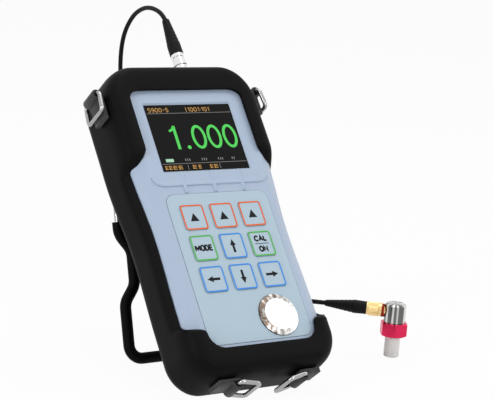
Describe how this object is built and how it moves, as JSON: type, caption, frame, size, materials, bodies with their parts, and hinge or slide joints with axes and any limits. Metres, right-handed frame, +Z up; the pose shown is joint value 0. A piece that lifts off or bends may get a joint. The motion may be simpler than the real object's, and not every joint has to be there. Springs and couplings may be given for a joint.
{
  "type": "ultrasonic thickness gauge",
  "caption": "Handheld ultrasonic thickness gauge in a rubber boot on a wire stand, with display, keypad, reference disc and a cabled probe with a delay tip.",
  "frame": {"origin": "centre of the base rectangle, on the plane it stands on, measured without the cable and what is on it", "axes": "+X to the right of the gauge's front, +Y away from the viewer of the front, +Z up; the front leans back 40 degrees and faces -Y"},
  "size_m": [0.1582, 0.1891, 0.1677],
  "materials": {
    "case_plastic": "fine satin periwinkle blue",
    "battery_label": "printed shrink sleeve",
    "spring_steel": "bright drawn wire and plated screws",
    "circuit_board": "solder mask",
    "display_panel": "black display module",
    "black_rubber": "soft satin moulded rubber",
    "display_glass": "clear window over a black display",
    "keypad_film": "fine matt printed film, slightly teal",
    "circuit_film": "amber circuit film",
    "orange_key_film": "film key with an orange outline",
    "green_key_film": "film key with a green outline",
    "blue_key_film": "film key with a blue outline",
    "ground_steel": "turned and ground steel",
    "black_plastic": "moulded black plastic",
    "black_webbing": "ribbed woven webbing",
    "nickel_plate": "bright nickel plate",
    "cable_jacket": "smooth black jacket",
    "gold_plate": "thin gold plate, knurled",
    "red_seal": "red sealing ring",
    "element_ceramic": "ceramic disc",
    "backing_resin": "filled resin",
    "red_anodised": "crimson anodised and polished",
    "delay_plastic": "milky translucent plastic"
  },
  "bodies": {
    "gauge": {"front_case": "case_plastic", "rear_case": "case_plastic", "battery_door": "case_plastic", "battery_cells": "battery_label", "battery_contacts": "spring_steel", "case_screws": "spring_steel", "main_board": "circuit_board", "lcd_module": "display_panel", "display_gasket": "black_rubber", "display_lens": "display_glass", "keypad_overlay": "keypad_film", "keypad_circuit": "circuit_film", "dome_switches": "spring_steel", "reference_disc": "ground_steel", "rubber_boot": "black_rubber", "bail_bracket": "black_plastic", "bracket_screws": "spring_steel", "webbing_top_left": "black_webbing", "webbing_top_right": "black_webbing", "webbing_bottom_left": "black_webbing", "webbing_bottom_right": "black_webbing", "probe_socket": "nickel_plate", "socket_nut": "nickel_plate", "cable_plug": "nickel_plate", "plug_relief": "black_rubber", "cable_upper": "cable_jacket", "cable_coil": "cable_jacket", "cable_lower": "cable_jacket", "probe_relief": "black_rubber", "coax_nut": "gold_plate", "coax_seal": "red_seal", "coax_jack": "gold_plate", "probe_body": "ground_steel", "piezo_element": "element_ceramic", "probe_backing": "backing_resin", "retaining_nut": "red_anodised", "delay_tip": "delay_plastic"},
    "soft_key_left": {"soft_key_left": "orange_key_film"},
    "soft_key_middle": {"soft_key_middle": "orange_key_film"},
    "soft_key_right": {"soft_key_right": "orange_key_film"},
    "mode_key": {"mode_key": "green_key_film"},
    "up_key": {"up_key": "blue_key_film"},
    "cal_key": {"cal_key": "green_key_film"},
    "left_key": {"left_key": "blue_key_film"},
    "down_key": {"down_key": "blue_key_film"},
    "right_key": {"right_key": "blue_key_film"},
    "bail_stand": {"bail_wire": "spring_steel", "bail_sleeve": "black_rubber"},
    "ring_top_left": {"ring_top_left": "nickel_plate"},
    "ring_top_right": {"ring_top_right": "nickel_plate"},
    "ring_bottom_left": {"ring_bottom_left": "nickel_plate"},
    "ring_bottom_right": {"ring_bottom_right": "nickel_plate"}
  },
  "joints": [
    {"name": "soft_key_left_press", "type": "slide", "parent": "gauge", "child": "soft_key_left", "axis": [0, 0.766, -0.6428], "range_m": [0, 0.0003], "stiffness_N_per_m": 400, "springref_m": -0.0002},
    {"name": "soft_key_middle_press", "type": "slide", "parent": "gauge", "child": "soft_key_middle", "axis": [0, 0.766, -0.6428], "range_m": [0, 0.0003], "stiffness_N_per_m": 400, "springref_m": -0.0002},
    {"name": "soft_key_right_press", "type": "slide", "parent": "gauge", "child": "soft_key_right", "axis": [0, 0.766, -0.6428], "range_m": [0, 0.0003], "stiffness_N_per_m": 400, "springref_m": -0.0002},
    {"name": "mode_key_press", "type": "slide", "parent": "gauge", "child": "mode_key", "axis": [0, 0.766, -0.6428], "range_m": [0, 0.0003], "stiffness_N_per_m": 400, "springref_m": -0.0002},
    {"name": "up_key_press", "type": "slide", "parent": "gauge", "child": "up_key", "axis": [0, 0.766, -0.6428], "range_m": [0, 0.0003], "stiffness_N_per_m": 400, "springref_m": -0.0002},
    {"name": "cal_key_press", "type": "slide", "parent": "gauge", "child": "cal_key", "axis": [0, 0.766, -0.6428], "range_m": [0, 0.0003], "stiffness_N_per_m": 400, "springref_m": -0.0002},
    {"name": "left_key_press", "type": "slide", "parent": "gauge", "child": "left_key", "axis": [0, 0.766, -0.6428], "range_m": [0, 0.0003], "stiffness_N_per_m": 400, "springref_m": -0.0002},
    {"name": "down_key_press", "type": "slide", "parent": "gauge", "child": "down_key", "axis": [0, 0.766, -0.6428], "range_m": [0, 0.0003], "stiffness_N_per_m": 400, "springref_m": -0.0002},
    {"name": "right_key_press", "type": "slide", "parent": "gauge", "child": "right_key", "axis": [0, 0.766, -0.6428], "range_m": [0, 0.0003], "stiffness_N_per_m": 400, "springref_m": -0.0002},
    {"name": "bail_hinge", "type": "hinge", "parent": "gauge", "child": "bail_stand", "pos_m": [0, 0.0352, 0.0766], "axis": [1, 0, 0], "range_deg": [-22, 0]},
    {"name": "ring_top_left_swing", "type": "hinge", "parent": "gauge", "child": "ring_top_left", "pos_m": [-0.0762, 0.04288, 0.12628], "axis": [0, 0.766, -0.6428], "range_deg": [0, 120]},
    {"name": "ring_top_right_swing", "type": "hinge", "parent": "gauge", "child": "ring_top_right", "pos_m": [0.0162, 0.04288, 0.12628], "axis": [0, -0.766, 0.6428], "range_deg": [0, 120]},
    {"name": "ring_bottom_left_swing", "type": "hinge", "parent": "gauge", "child": "ring_bottom_left", "pos_m": [-0.0485, -0.05623, 0.00816], "axis": [0, 0.766, -0.6428], "range_deg": [-18, 100]},
    {"name": "ring_bottom_right_swing", "type": "hinge", "parent": "gauge", "child": "ring_bottom_right", "pos_m": [-0.0115, -0.05623, 0.00816], "axis": [0, -0.766, 0.6428], "range_deg": [-18, 100]}
  ]
}
